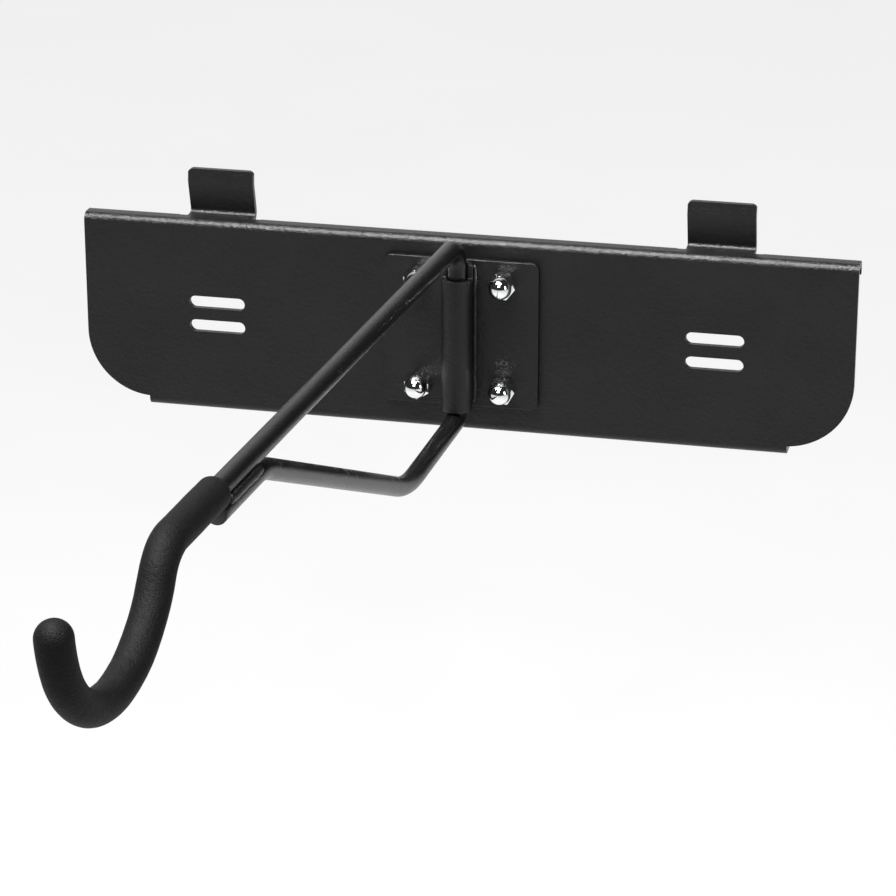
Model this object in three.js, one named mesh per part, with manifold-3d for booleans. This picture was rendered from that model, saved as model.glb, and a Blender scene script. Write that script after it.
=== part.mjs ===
// Bicycle wall rack: a folded steel back plate that hooks into a wall track, a hinge plate with a
// vertical hinge tube bolted to it, and one bent steel rod that swings in the tube and ends in a
// padded hook.
//
// Millimetres. +X is to the right of the plate, +Y points into the wall and +Z is up. The origin is
// the middle of the plate's rear contact face, the flat of the folded top return that lies on the wall.

import * as THREE from 'three';
import { mergeVertices } from 'three/addons/utils/BufferGeometryUtils.js';
import Module from 'manifold-3d';

// ---- driving dimensions --------------------------------------------------------------------------

const GAP = 0.3; // space left between two separate pieces that touch
const OVERCUT = 5; // how far a cutting tool runs past the piece it cuts

// back plate
const SHEET = 3; // steel thickness
const PLATE_WIDTH = 406;
const PLATE_HEIGHT = 99; // front face, up to the top of the fold
const STAND_OFF = 12.8; // front face to wall
const FOLD_RADIUS = 4; // outside radius of every long fold
const RETURN_DROP = 7.5; // height of the folded return at the wall
const CORNER_RADIUS = 35; // lower corners of the front face
const LIP_LENGTH = 340; // lower lip, centred on the plate
const LIP_DROP = 5; // lip underside below the front face

// hooks that enter the wall track
const TAB_WIDTH = 35;
const TAB_SPACING = 263; // centre to centre
const TAB_HEIGHT = 24.5; // above the top fold
const TAB_REACH = 5; // rear of the tab behind the wall face
const TAB_LEAN = 14; // degrees, lower part of the tab towards the front
const TAB_BREAK = 14; // height of the leaning part
const TAB_TIP_LEAN = 6; // degrees, upper part of the tab towards the wall
const TAB_KINK_BEND = 4.5; // centreline radius between the two parts
const TAB_CORNER = 3; // rounding of the two upper corners
const RELIEF_WIDTH = 4.5; // cut beside each tab
const RELIEF_DEPTH = 4; // cut from the wall face into the top fold

// plain round-ended slots, one pair on each side of the hinge
const SLOT_LENGTH = 30;
const SLOT_WIDTH = 6.5;
const SLOT_PITCH = 13;
const SLOT_DROP = 1.5; // middle of a pair below the plate's middle

// hinge plate and its fasteners
const HINGE_WIDTH = 81.5;
const HINGE_HEIGHT = 79.5;
const HINGE_THICK = 3;
const HINGE_CORNER = 4;
const BOLT_SPACING_X = 44.5;
const BOLT_SPACING_Z = 57;
const BOLT_DROP = 0.5; // middle of the four bolts below the hinge plate's middle
const BOLT_DIAMETER = 7.9;
const BOLT_CLEARANCE = 0.35; // radial, in the round holes
const BOLT_HEAD_DIAMETER = 17;
const BOLT_HEAD_HEIGHT = 4;
const BOLT_HEAD_RIM = 0.8; // straight rim under the domed head
const BOLT_ROOT = 1; // how deep the neck and the shank run into the head
const BOLT_TIP_ROOM = 1.5; // bolt end to the bottom of the nut's blind hole
const NUT_ACROSS_FLATS = 12.7;
const NUT_HEX_HEIGHT = 6;
const NUT_HEIGHT = 13;
const NUT_CHAMFER = 1.3; // height of the chamfer under the cap
const NUT_CHAMFER_INSET = 0.3; // its upper edge inside the flats
const DOME_DIAMETER = 12;
const DOME_THICK = 3; // metal between the blind hole and the top of the cap
const NUT_TURNS = [40, 52, 30, 0]; // degrees each nut happens to stop at

// hinge tube
const TUBE_DIAMETER = 16;
const TUBE_INSET_LOW = 1; // tube's lower end above the hinge plate's lower edge
const TUBE_INSET_HIGH = 0.2; // tube's upper end below the hinge plate's upper edge
const TUBE_CUTAWAY = 7.2; // front half of the tube is lower than its rear half by this
const PIN_CLEARANCE = 0.35; // radial, rod in tube
const TUBE_WELD_RADIUS = 2.6;
const TUBE_WELD_OUT = 7.2; // bead axis to one side of the tube's axis
const TUBE_WELD_FORWARD = 1.6; // bead axis in front of the hinge plate
const TUBE_WELD_INSET = 2; // weld ends short of the tube's ends

// the one bent rod: hook, arm, hinge pin and strut
const ROD_DIAMETER = 10;
const TOP_BEND = 13; // centreline radius from pin to arm
const BOTTOM_BEND = 6; // centreline radius from pin to strut
const ARM_ABOVE_TUBE = 10.6; // arm axis above the tube's upper end
const ARM_DROOP = 0.45; // degrees below level
const ARM_LENGTH = 397; // pin axis to the start of the hook
const DROP_BEND = 22; // centreline radii of the hook's three bends, and their turns
const DROP_ANGLE = 59;
const LEVEL_BEND = 60;
const LEVEL_ANGLE = 60;
const HOOK_BEND = 51;
const HOOK_ANGLE = 82;
const HOOK_TIP = 0.4; // straight end of the rod past the hook bend
const STRUT_BELOW_TUBE = 6.2; // strut axis below the tube's lower end
const STRUT_DROOP = 3.3; // degrees below level
const STRUT_LOWER = 88; // pin axis to the strut's corner
const STRUT_RISE = 23; // degrees above level
const STRUT_CORNER_BEND = 70; // centreline radius at the corner
const STRUT_LAP_BEND = 40; // centreline radius where the strut meets the arm
const STRUT_LAP = 47.5; // length of the strut end welded along the arm
const STRUT_WELD_RADIUS = 2.8;
const STRUT_WELD_OUT = 4; // bead axis to one side of the arm's axis
const STRUT_WELD_INSET = 4;
const REST_SWING = -4; // degrees the arm stands turned at rest, 0 is square to the wall

// foam sleeve on the hook
const SLEEVE_DIAMETER = 15.6;
const SLEEVE_ON_ARM = 47.5; // length of sleeve on the straight arm
const SLEEVE_TIP_WALL = 1.4; // rubber past the end of the rod

// how finely round things are cut into flats
const ROUND_STEPS = 32;
const ROD_STEPS = 16;
const FOLD_STEPS = 6;
const CAP_SHRINK = 0.995; // round tip against the sleeve, so that no two faces lie on each other
const SAME_POINT = 1e-5; // corners closer than this are one corner

// ---- finishes ------------------------------------------------------------------------------------

function powderCoat() {
  return new THREE.MeshStandardMaterial({ color: 0x17181a, roughness: 0.42, metalness: 0.0 });
}

function chromePlate() {
  return new THREE.MeshStandardMaterial({ color: 0xd8dadd, roughness: 0.08, metalness: 1.0 });
}

function zincPlate() {
  return new THREE.MeshStandardMaterial({ color: 0xb4b8bc, roughness: 0.35, metalness: 1.0 });
}

function foamRubber() {
  return new THREE.MeshStandardMaterial({ color: 0x141414, roughness: 0.85, metalness: 0.0 });
}

// ---- solid helpers -------------------------------------------------------------------------------

const wasm = await Module();
wasm.setup();

const RIGHT = new THREE.Vector3(1, 0, 0);
const BACK = new THREE.Vector3(0, 1, 0);
const UP = new THREE.Vector3(0, 0, 1);

function solid(geometry) {
  const bare = geometry.index ? geometry.toNonIndexed() : geometry.clone();
  bare.deleteAttribute('normal');
  bare.deleteAttribute('uv');
  const merged = mergeVertices(bare, SAME_POINT);
  const mesh = new wasm.Mesh({
    numProp: 3,
    vertProperties: new Float32Array(merged.attributes.position.array),
    triVerts: new Uint32Array(merged.index.array),
  });
  return new wasm.Manifold(mesh);
}

function geometryOf(manifold) {
  const { vertProperties, triVerts } = manifold.getMesh();
  const geometry = new THREE.BufferGeometry();
  geometry.setAttribute('position', new THREE.BufferAttribute(new Float32Array(vertProperties), 3));
  geometry.setIndex(new THREE.BufferAttribute(new Uint32Array(triVerts), 1));
  const flat = geometry.toNonIndexed();
  flat.computeVertexNormals();
  return flat;
}

// A flat outline given a thickness: its own x runs along `across`, its y along `along`.
function slab(shape, across, along, depth, from) {
  const options = { depth, bevelEnabled: false, curveSegments: FOLD_STEPS * 2 };
  const geometry = new THREE.ExtrudeGeometry(shape, options);
  const out = new THREE.Vector3().crossVectors(across, along);
  geometry.applyMatrix4(new THREE.Matrix4().makeBasis(across, along, out));
  geometry.translate(from.x, from.y, from.z);
  return solid(geometry);
}

function box(low, high) {
  const size = high.clone().sub(low);
  const middle = high.clone().add(low).multiplyScalar(0.5);
  return solid(new THREE.BoxGeometry(size.x, size.y, size.z).translate(middle.x, middle.y, middle.z));
}

// A round bar along Z, and one along Y, from one end to the other.
function bar(radius, low, high, steps = ROUND_STEPS) {
  const geometry = new THREE.CylinderGeometry(radius, radius, high - low, steps);
  geometry.rotateX(Math.PI / 2).translate(0, 0, (high + low) / 2);
  return solid(geometry);
}

function lyingBar(radius, front, rear, steps = ROUND_STEPS) {
  const geometry = new THREE.CylinderGeometry(radius, radius, rear - front, steps);
  geometry.translate(0, (front + rear) / 2, 0);
  return solid(geometry);
}

function part(name, manifold, material) {
  const mesh = new THREE.Mesh(geometryOf(manifold), material);
  mesh.name = name;
  return mesh;
}

// ---- bent paths ----------------------------------------------------------------------------------

// Walks a flat path made of straight runs and bends. Each move is { run } or { bend, radius }, with
// bend in degrees and positive to the left. Gives the stations it passes, each with its heading.
function walk(start, headingDegrees, moves, stepDegrees = 90 / FOLD_STEPS) {
  let heading = THREE.MathUtils.degToRad(headingDegrees);
  let here = start.clone();
  const stations = [{ point: here.clone(), heading }];
  for (const move of moves) {
    if (move.run !== undefined) {
      here.add(new THREE.Vector2(Math.cos(heading), Math.sin(heading)).multiplyScalar(move.run));
      stations.push({ point: here.clone(), heading });
      continue;
    }
    const turn = THREE.MathUtils.degToRad(move.bend);
    const side = Math.sign(turn);
    const centre = here.clone().add(leftOf(heading).multiplyScalar(side * move.radius));
    const steps = Math.max(1, Math.ceil(Math.abs(move.bend) / stepDegrees));
    for (let i = 1; i <= steps; i += 1) {
      const now = heading + (turn * i) / steps;
      here = centre.clone().sub(leftOf(now).multiplyScalar(side * move.radius));
      stations.push({ point: here.clone(), heading: now });
    }
    heading += turn;
  }
  return stations;
}

function leftOf(heading) {
  return new THREE.Vector2(-Math.sin(heading), Math.cos(heading));
}

// The cross-section of a folded sheet whose middle surface follows the stations.
function sheetSection(stations, thickness) {
  const offset = ({ point, heading }, side) => {
    const aside = leftOf(heading).multiplyScalar((side * thickness) / 2);
    return point.clone().add(aside);
  };
  const left = stations.map((station) => offset(station, 1));
  const right = stations.map((station) => offset(station, -1));
  return new THREE.Shape([...right, ...left.reverse()]);
}

function foldedStrip(stations, width, middleX) {
  const from = new THREE.Vector3(middleX - width / 2, 0, 0);
  return slab(sheetSection(stations, SHEET), BACK, UP, width, from);
}

// A rod's axis in a vertical plane: forward distance and height, with one step between two stations.
class BentAxis extends THREE.Curve {
  constructor(stations) {
    super();
    this.stations = stations;
  }

  place(t) {
    const last = this.stations.length - 1;
    const at = Math.min(t * last, last);
    const index = Math.min(Math.floor(at), last - 1);
    return { from: this.stations[index], to: this.stations[index + 1], share: at - index };
  }

  getPoint(t, target = new THREE.Vector3()) {
    const { from, to, share } = this.place(t);
    const flat = from.point.clone().lerp(to.point, share);
    return target.set(0, -flat.x, flat.y);
  }

  getTangent(t, target = new THREE.Vector3()) {
    const { from, to, share } = this.place(t);
    const heading = THREE.MathUtils.lerp(from.heading, to.heading, share);
    return target.set(0, -Math.cos(heading), Math.sin(heading));
  }

  getPointAt(u, target) {
    return this.getPoint(u, target);
  }

  getTangentAt(u, target) {
    return this.getTangent(u, target);
  }
}

function circle(radius, steps) {
  const points = [];
  for (let i = 0; i < steps; i += 1) {
    const angle = ((i + 0.5) / steps) * 2 * Math.PI;
    points.push(new THREE.Vector2(Math.cos(angle), Math.sin(angle)).multiplyScalar(radius));
  }
  return new THREE.Shape(points);
}

function roundAlong(stations, radius) {
  const options = {
    steps: stations.length - 1,
    extrudePath: new BentAxis(stations),
    bevelEnabled: false,
  };
  return solid(new THREE.ExtrudeGeometry(circle(radius, ROD_STEPS), options));
}

// ---- places that the pieces share ----------------------------------------------------------------

const topZ = (RETURN_DROP + FOLD_RADIUS) / 2;
const bottomZ = topZ - PLATE_HEIGHT;
const faceY = -STAND_OFF;
const plateRearY = faceY + SHEET;
const hingeRearY = faceY - GAP;
const hingeFaceY = hingeRearY - HINGE_THICK;
const hingeMidZ = (topZ + bottomZ) / 2;
const boltMidZ = hingeMidZ - BOLT_DROP;
const nutSeatY = hingeFaceY - GAP;
const tubeRadius = TUBE_DIAMETER / 2;
const rodRadius = ROD_DIAMETER / 2;
const boreRadius = rodRadius + PIN_CLEARANCE;
const tubeAxisY = hingeFaceY - GAP - tubeRadius;
const tubeLowZ = hingeMidZ - HINGE_HEIGHT / 2 + TUBE_INSET_LOW;
const tubeHighZ = hingeMidZ + HINGE_HEIGHT / 2 - TUBE_INSET_HIGH;
const armZ = tubeHighZ + ARM_ABOVE_TUBE;
const strutZ = tubeLowZ - STRUT_BELOW_TUBE;
const lapSpacing = ROD_DIAMETER + GAP;
const foldMid = FOLD_RADIUS - SHEET / 2;
const boltPlaces = [
  { name: 'upper_left', x: -BOLT_SPACING_X / 2, z: boltMidZ + BOLT_SPACING_Z / 2 },
  { name: 'upper_right', x: BOLT_SPACING_X / 2, z: boltMidZ + BOLT_SPACING_Z / 2 },
  { name: 'lower_left', x: -BOLT_SPACING_X / 2, z: boltMidZ - BOLT_SPACING_Z / 2 },
  { name: 'lower_right', x: BOLT_SPACING_X / 2, z: boltMidZ - BOLT_SPACING_Z / 2 },
];

// ---- back plate ----------------------------------------------------------------------------------

function faceTopAndReturn() {
  const stations = walk(new THREE.Vector2(faceY + SHEET / 2, bottomZ), 90, [
    { run: PLATE_HEIGHT - FOLD_RADIUS },
    { bend: -90, radius: foldMid },
    { run: STAND_OFF - 2 * FOLD_RADIUS },
    { bend: -90, radius: foldMid },
    { run: RETURN_DROP - FOLD_RADIUS },
  ]);
  return foldedStrip(stations, PLATE_WIDTH, 0);
}

function lowerLip() {
  const lap = FOLD_RADIUS;
  const stations = walk(new THREE.Vector2(faceY + SHEET / 2, bottomZ + lap), -90, [
    { run: lap + LIP_DROP - FOLD_RADIUS },
    { bend: 90, radius: foldMid },
    { run: STAND_OFF - FOLD_RADIUS },
  ]);
  return foldedStrip(stations, LIP_LENGTH, 0);
}

function trackTab(middleX) {
  const bendMid = TAB_REACH - SHEET / 2;
  const lean = THREE.MathUtils.degToRad(TAB_LEAN);
  const upper = TAB_HEIGHT + SHEET / 2 - bendMid - TAB_BREAK;
  const stations = walk(new THREE.Vector2(-RELIEF_DEPTH - OVERCUT, topZ - SHEET / 2), 0, [
    { run: RELIEF_DEPTH + OVERCUT },
    { bend: 90 + TAB_LEAN, radius: bendMid },
    { run: TAB_BREAK / Math.cos(lean) },
    { bend: -(TAB_LEAN + TAB_TIP_LEAN), radius: TAB_KINK_BEND },
    { run: upper },
  ]);
  return foldedStrip(stations, TAB_WIDTH, middleX).intersect(tabOutline(middleX));
}

// Front view of a tab: its two upper corners are rounded.
function tabOutline(middleX) {
  const half = TAB_WIDTH / 2 + GAP;
  const top = topZ + TAB_HEIGHT;
  const corner = TAB_CORNER;
  const shape = new THREE.Shape();
  shape.moveTo(middleX - half, topZ - OVERCUT);
  shape.lineTo(middleX + half, topZ - OVERCUT);
  shape.lineTo(middleX + half, top - corner);
  shape.absarc(middleX + half - corner, top - corner, corner, 0, Math.PI / 2);
  shape.absarc(middleX - half + corner, top - corner, corner, Math.PI / 2, Math.PI);
  shape.closePath();
  const depth = STAND_OFF + TAB_REACH + 2 * OVERCUT;
  return slab(shape, RIGHT, UP, depth, new THREE.Vector3(0, TAB_REACH + OVERCUT, 0));
}

// Front view of the plate: a rectangle whose two lower corners are large arcs.
function plateOutline() {
  const half = PLATE_WIDTH / 2;
  const shape = new THREE.Shape();
  shape.moveTo(half, topZ + OVERCUT);
  shape.lineTo(-half, topZ + OVERCUT);
  shape.absarc(-half + CORNER_RADIUS, bottomZ + CORNER_RADIUS, CORNER_RADIUS, Math.PI, 1.5 * Math.PI);
  shape.absarc(half - CORNER_RADIUS, bottomZ + CORNER_RADIUS, CORNER_RADIUS, 1.5 * Math.PI, 2 * Math.PI);
  shape.closePath();
  const depth = STAND_OFF + 2 * OVERCUT;
  return slab(shape, RIGHT, UP, depth, new THREE.Vector3(0, OVERCUT, 0));
}

// Clears the wall side of the top fold over a tab and the relief cuts beside it.
function tabClearing(middleX) {
  const half = TAB_WIDTH / 2 + RELIEF_WIDTH;
  const low = new THREE.Vector3(middleX - half, -RELIEF_DEPTH, topZ - RETURN_DROP - OVERCUT);
  const high = new THREE.Vector3(middleX + half, OVERCUT, topZ + OVERCUT);
  return box(low, high);
}

function roundEndedSlot(middleX, middleZ) {
  const reach = (SLOT_LENGTH - SLOT_WIDTH) / 2;
  const shape = new THREE.Shape();
  shape.absarc(middleX + reach, middleZ, SLOT_WIDTH / 2, -Math.PI / 2, Math.PI / 2);
  shape.absarc(middleX - reach, middleZ, SLOT_WIDTH / 2, Math.PI / 2, 1.5 * Math.PI);
  shape.closePath();
  return slab(shape, RIGHT, UP, SHEET + 2 * OVERCUT, new THREE.Vector3(0, plateRearY + OVERCUT, 0));
}

function squareHole({ x, z }) {
  const half = BOLT_DIAMETER / 2 + BOLT_CLEARANCE;
  const low = new THREE.Vector3(x - half, faceY - OVERCUT, z - half);
  const high = new THREE.Vector3(x + half, plateRearY + OVERCUT, z + half);
  return box(low, high);
}

function backPlate() {
  let plate = faceTopAndReturn().intersect(plateOutline()).add(lowerLip());
  const slotMidZ = (topZ + bottomZ) / 2 - SLOT_DROP;
  for (const side of [-1, 1]) {
    const tabX = (side * TAB_SPACING) / 2;
    plate = plate.subtract(tabClearing(tabX)).add(trackTab(tabX));
    for (const row of [-0.5, 0.5]) {
      plate = plate.subtract(roundEndedSlot(tabX, slotMidZ + row * SLOT_PITCH));
    }
  }
  for (const place of boltPlaces) {
    plate = plate.subtract(squareHole(place));
  }
  return part('back_plate', plate, powderCoat());
}

// ---- hinge plate, tube and their welds -----------------------------------------------------------

function hingePlate() {
  const halfX = HINGE_WIDTH / 2 - HINGE_CORNER;
  const halfZ = HINGE_HEIGHT / 2 - HINGE_CORNER;
  const shape = new THREE.Shape();
  const corners = [[1, 1, 0], [-1, 1, 1], [-1, -1, 2], [1, -1, 3]];
  for (const [sideX, sideZ, quarter] of corners) {
    const start = (quarter * Math.PI) / 2;
    shape.absarc(sideX * halfX, hingeMidZ + sideZ * halfZ, HINGE_CORNER, start, start + Math.PI / 2);
  }
  shape.closePath();
  let plate = slab(shape, RIGHT, UP, HINGE_THICK, new THREE.Vector3(0, hingeRearY, 0));
  const holeRadius = BOLT_DIAMETER / 2 + BOLT_CLEARANCE;
  for (const { x, z } of boltPlaces) {
    const hole = lyingBar(holeRadius, hingeFaceY - OVERCUT, hingeRearY + OVERCUT, ROUND_STEPS / 2);
    plate = plate.subtract(hole.translate([x, 0, z]));
  }
  return part('hinge_plate', plate, powderCoat());
}

function hingeTube() {
  const cutLow = new THREE.Vector3(-TUBE_DIAMETER, -TUBE_DIAMETER, tubeHighZ - TUBE_CUTAWAY);
  const cutHigh = new THREE.Vector3(TUBE_DIAMETER, 0, tubeHighZ + OVERCUT);
  const tube = bar(tubeRadius, tubeLowZ, tubeHighZ)
    .subtract(bar(boreRadius, tubeLowZ - OVERCUT, tubeHighZ + OVERCUT))
    .subtract(box(cutLow, cutHigh));
  return part('hinge_tube', tube.translate([0, tubeAxisY, 0]), powderCoat());
}

// A weld bead fills the corner between the tube and the hinge plate.
function tubeWeld(name, side) {
  const low = tubeLowZ + TUBE_WELD_INSET;
  const high = tubeHighZ - TUBE_WELD_INSET;
  const beadX = side * TUBE_WELD_OUT;
  const beadY = hingeFaceY - TUBE_WELD_FORWARD;
  const clearance = bar(tubeRadius + GAP, low - OVERCUT, high + OVERCUT).translate([0, tubeAxisY, 0]);
  const behind = box(
    new THREE.Vector3(-HINGE_WIDTH, hingeFaceY - GAP, low - OVERCUT),
    new THREE.Vector3(HINGE_WIDTH, hingeFaceY + OVERCUT, high + OVERCUT),
  );
  const bead = bar(TUBE_WELD_RADIUS, low, high, ROD_STEPS).translate([beadX, beadY, 0]);
  return part(name, bead.subtract(clearance).subtract(behind), powderCoat());
}

// ---- fasteners -----------------------------------------------------------------------------------

function carriageBolt(place) {
  const headFrontY = plateRearY + GAP;
  const half = BOLT_DIAMETER / 2;
  const headProfile = [new THREE.Vector2(0, 0), new THREE.Vector2(BOLT_HEAD_DIAMETER / 2, 0)];
  for (let i = 0; i <= FOLD_STEPS; i += 1) {
    const angle = (i / FOLD_STEPS) * (Math.PI / 2);
    const radius = (BOLT_HEAD_DIAMETER / 2) * Math.cos(angle);
    const height = BOLT_HEAD_RIM + (BOLT_HEAD_HEIGHT - BOLT_HEAD_RIM) * Math.sin(angle);
    headProfile.push(new THREE.Vector2(radius, height));
  }
  headProfile[headProfile.length - 1].x = 0;
  const head = solid(new THREE.LatheGeometry(headProfile, ROUND_STEPS)).translate([0, headFrontY, 0]);
  const neckLow = new THREE.Vector3(-half, faceY, -half);
  const neckHigh = new THREE.Vector3(half, headFrontY + BOLT_ROOT, half);
  const tipY = nutSeatY - (NUT_HEIGHT - DOME_THICK - BOLT_TIP_ROOM);
  const shank = lyingBar(half, tipY, headFrontY + BOLT_ROOT, ROUND_STEPS / 2);
  const bolt = head.add(box(neckLow, neckHigh)).add(shank).translate([place.x, 0, place.z]);
  return part(`carriage_bolt_${place.name}`, bolt, zincPlate());
}

// Acorn nut: a chamfered hexagon with a smaller domed cap and a blind hole.
function acornNut(place, turn) {
  const cornerRadius = NUT_ACROSS_FLATS / Math.sqrt(3);
  const domeRadius = DOME_DIAMETER / 2;
  const hexagon = solid(new THREE.CylinderGeometry(cornerRadius, cornerRadius, NUT_HEX_HEIGHT, 6));
  const wide = cornerRadius + GAP;
  const halfHeight = NUT_HEX_HEIGHT / 2;
  const chamferProfile = [
    new THREE.Vector2(0, -halfHeight),
    new THREE.Vector2(wide, -halfHeight),
    new THREE.Vector2(wide, halfHeight - NUT_CHAMFER),
    new THREE.Vector2(NUT_ACROSS_FLATS / 2 - NUT_CHAMFER_INSET, halfHeight),
    new THREE.Vector2(0, halfHeight),
  ];
  const chamfer = solid(new THREE.LatheGeometry(chamferProfile, ROUND_STEPS));
  const domeProfile = [new THREE.Vector2(0, 0), new THREE.Vector2(domeRadius, 0)];
  for (let i = 0; i <= FOLD_STEPS; i += 1) {
    const angle = (i / FOLD_STEPS) * (Math.PI / 2);
    const height = NUT_HEIGHT - NUT_HEX_HEIGHT - domeRadius + domeRadius * Math.sin(angle);
    domeProfile.push(new THREE.Vector2(domeRadius * Math.cos(angle), height));
  }
  domeProfile[domeProfile.length - 1].x = 0;
  const dome = solid(new THREE.LatheGeometry(domeProfile, ROUND_STEPS)).translate([0, halfHeight, 0]);
  const holeDepth = NUT_HEIGHT - DOME_THICK;
  const hole = lyingBar(BOLT_DIAMETER / 2 + GAP, -OVERCUT, holeDepth, ROUND_STEPS / 2)
    .translate([0, -halfHeight, 0]);
  const nut = hexagon.intersect(chamfer).add(dome).subtract(hole)
    .rotate([0, turn, 0])
    .rotate([180, 0, 0])
    .translate([place.x, nutSeatY - halfHeight, place.z]);
  return part(`acorn_nut_${place.name}`, nut, chromePlate());
}

// ---- rod, weld and sleeve, drawn square to the wall and turned together --------------------------

// From the start of the straight arm to the end of the rod at the hook's tip.
function hookMoves(tip) {
  return [
    { bend: -DROP_ANGLE, radius: DROP_BEND },
    { bend: LEVEL_ANGLE, radius: LEVEL_BEND },
    { bend: HOOK_ANGLE, radius: HOOK_BEND },
    { run: tip },
  ];
}

// The strut from the pin down, forward, up and, past a rising limb, along under the arm.
function strutStations(rising, lap) {
  const corner = STRUT_DROOP + STRUT_RISE;
  const cornerLead = STRUT_CORNER_BEND * Math.tan(THREE.MathUtils.degToRad(corner / 2));
  return walk(new THREE.Vector2(0, strutZ + BOTTOM_BEND), -90, [
    { bend: 90 - STRUT_DROOP, radius: BOTTOM_BEND },
    { run: STRUT_LOWER - BOTTOM_BEND - cornerLead },
    { bend: corner, radius: STRUT_CORNER_BEND },
    { run: rising },
    { bend: -(STRUT_RISE + ARM_DROOP), radius: STRUT_LAP_BEND },
    { run: lap },
  ]);
}

// How long the rising limb is, so that the strut's end lies under the arm at the lap spacing.
function risingLimb() {
  const end = strutStations(0, 0).pop().point;
  const droop = THREE.MathUtils.degToRad(ARM_DROOP);
  const rise = THREE.MathUtils.degToRad(STRUT_RISE);
  const missing = armHeightAt(end.x) - lapSpacing / Math.cos(droop) - end.y;
  return missing / (Math.sin(rise) + Math.cos(rise) * Math.tan(droop));
}

function armHeightAt(forward) {
  return armZ - (forward - TOP_BEND) * Math.tan(THREE.MathUtils.degToRad(ARM_DROOP));
}

// The whole rod in one walk, from the strut's end round the pin to the hook's tip.
function rodStations() {
  const strut = strutStations(risingLimb(), STRUT_LAP).reverse();
  const upwards = strut.map(({ point, heading }) => ({ point, heading: heading + Math.PI }));
  const pinTop = new THREE.Vector2(0, armZ - TOP_BEND * Math.cos(THREE.MathUtils.degToRad(ARM_DROOP)));
  const arm = walk(pinTop, 90, [
    { bend: -90 - ARM_DROOP, radius: TOP_BEND },
    { run: ARM_LENGTH - TOP_BEND },
    ...hookMoves(HOOK_TIP),
  ]);
  return unwind([...upwards, ...arm]);
}

// Takes whole turns out of the headings, so that two neighbours never differ by more than a half.
function unwind(stations) {
  let before = stations[0].heading;
  return stations.map(({ point, heading }) => {
    const turns = Math.round((heading - before) / (2 * Math.PI));
    before = heading - turns * 2 * Math.PI;
    return { point, heading: before };
  });
}

function hookRod() {
  return part('hook_rod', roundAlong(rodStations(), rodRadius), powderCoat());
}

// The sleeve covers the end of the arm and all of the hook, and is closed at the tip.
function foamSleeve() {
  const outerRadius = SLEEVE_DIAMETER / 2;
  const startForward = ARM_LENGTH - SLEEVE_ON_ARM;
  const start = new THREE.Vector2(startForward, armHeightAt(startForward));
  const outerTip = HOOK_TIP + GAP + SLEEVE_TIP_WALL;
  const round = new THREE.SphereGeometry(outerRadius * CAP_SHRINK, ROD_STEPS, ROD_STEPS / 2);
  const outerPath = walk(start, -ARM_DROOP, [{ run: SLEEVE_ON_ARM }, ...hookMoves(outerTip)]);
  const tipAt = new BentAxis(outerPath).getPoint(1);
  const cap = solid(round).translate([tipAt.x, tipAt.y, tipAt.z]);
  const early = new THREE.Vector2(startForward - OVERCUT, armHeightAt(startForward - OVERCUT));
  const innerMoves = [{ run: SLEEVE_ON_ARM + OVERCUT }, ...hookMoves(HOOK_TIP + GAP)];
  const hollow = roundAlong(walk(early, -ARM_DROOP, innerMoves), rodRadius + GAP);
  const sleeve = roundAlong(outerPath, outerRadius).add(cap).subtract(hollow);
  return part('foam_sleeve', sleeve, foamRubber());
}

// A bead lies in the groove between the arm and the strut's end, on each side.
function strutWeld(name, side) {
  const stations = rodStations();
  const lapEnd = stations[0].point;
  const from = lapEnd.x - STRUT_LAP + STRUT_WELD_INSET;
  const to = lapEnd.x - STRUT_WELD_INSET;
  const mid = (forward) => armHeightAt(forward) - lapSpacing / 2;
  const line = [from, to].map((forward) => ({
    point: new THREE.Vector2(forward, mid(forward)),
    heading: -THREE.MathUtils.degToRad(ARM_DROOP),
  }));
  const grown = rodRadius + GAP;
  const longLine = (rise) => [from - OVERCUT, to + OVERCUT].map((forward) => ({
    point: new THREE.Vector2(forward, armHeightAt(forward) - rise),
    heading: -THREE.MathUtils.degToRad(ARM_DROOP),
  }));
  const bead = roundAlong(line, STRUT_WELD_RADIUS).translate([side * STRUT_WELD_OUT, 0, 0]);
  const shaped = bead
    .subtract(roundAlong(longLine(0), grown))
    .subtract(roundAlong(longLine(lapSpacing), grown));
  return part(name, shaped, powderCoat());
}

function swingingArm() {
  const arm = new THREE.Group();
  arm.add(hookRod(), strutWeld('strut_weld_left', -1), strutWeld('strut_weld_right', 1), foamSleeve());
  arm.position.set(0, tubeAxisY, 0);
  arm.rotation.z = THREE.MathUtils.degToRad(REST_SWING);
  return arm;
}

// ---- the rack ------------------------------------------------------------------------------------

const rack = new THREE.Group();
rack.add(backPlate(), hingePlate(), hingeTube());
rack.add(tubeWeld('tube_weld_left', -1), tubeWeld('tube_weld_right', 1));
boltPlaces.forEach((place, index) => {
  rack.add(carriageBolt(place), acornNut(place, NUT_TURNS[index]));
});
rack.add(swingingArm());

export default rack;
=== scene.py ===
import math

import bmesh
import bpy
from mathutils import Matrix, Vector, noise


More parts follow.
